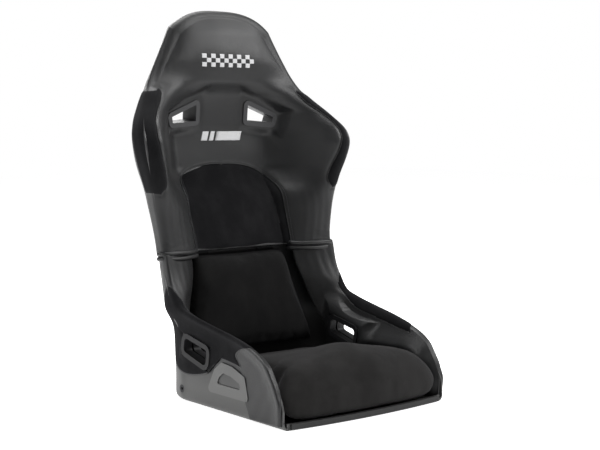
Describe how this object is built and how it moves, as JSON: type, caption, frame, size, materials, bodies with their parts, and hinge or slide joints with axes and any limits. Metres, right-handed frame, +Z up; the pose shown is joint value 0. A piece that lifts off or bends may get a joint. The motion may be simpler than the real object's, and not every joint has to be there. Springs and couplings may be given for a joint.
{
  "type": "racing seat",
  "caption": "Fixed-back bucket racing seat with a two-piece shell, harness slots, winged shoulders, side bolsters and lift-out pads.",
  "frame": {"origin": "on the underside of the base, on the centre plane, below the back of the cushion", "axes": "+Z up, the occupant faces -Y, +X towards the occupant's left"},
  "size_m": [0.598, 0.5925, 0.885],
  "materials": {
    "shell_plastic": "satin black moulded, greying towards the foot",
    "leather": "fine-grained satin black artificial leather",
    "suede": "matt black brushed suede cloth",
    "pad_suede": "dark grey brushed suede cloth",
    "foam": "moulded open-cell foam",
    "frame_plastic": "mid-grey satin moulding",
    "tape": "black hook-and-loop tape",
    "trim_rubber": "matt black",
    "black_steel": "black oxide",
    "plated_steel": "zinc plated"
  },
  "bodies": {
    "root": {"back_centre_panel": "suede", "back_cover": "leather", "back_foam": "foam", "back_hook_tape": "tape", "bolster_cover_left": "leather", "bolster_cover_right": "leather", "bolster_foam_left": "foam", "bolster_foam_right": "foam", "front_lip_trim": "trim_rubber", "harness_frame_front_left": "frame_plastic", "harness_frame_front_right": "frame_plastic", "harness_frame_rear_left": "frame_plastic", "harness_frame_rear_right": "frame_plastic", "head_foam": "foam", "hip_panel_left": "suede", "hip_panel_right": "suede", "joint_bolts": "black_steel", "joint_nuts": "black_steel", "joint_plate_left": "plated_steel", "joint_plate_right": "plated_steel", "joint_washers": "black_steel", "lap_frame_inner_left": "frame_plastic", "lap_frame_inner_right": "frame_plastic", "lap_frame_outer_left": "frame_plastic", "lap_frame_outer_right": "frame_plastic", "lower_shell": "shell_plastic", "seat_hook_tape": "tape", "shoulder_panel_left": "suede", "shoulder_panel_right": "suede", "side_mount_plate_left": "plated_steel", "side_mount_plate_right": "plated_steel", "upper_shell": "shell_plastic", "waist_rolls_left": "leather", "waist_rolls_right": "leather"},
    "seat_cushion": {"seat_cushion": "pad_suede", "seat_loop_tape": "tape"},
    "back_pad": {"back_pad": "pad_suede", "back_loop_tape": "tape"}
  },
  "joints": [
    {"name": "seat_cushion_lift", "type": "slide", "parent": "root", "child": "seat_cushion", "axis": [0, -0.5, 0.866], "range_m": [0, 0.12]},
    {"name": "back_pad_lift", "type": "slide", "parent": "root", "child": "back_pad", "axis": [0, -0.9701, 0.2425], "range_m": [0, 0.05]}
  ]
}
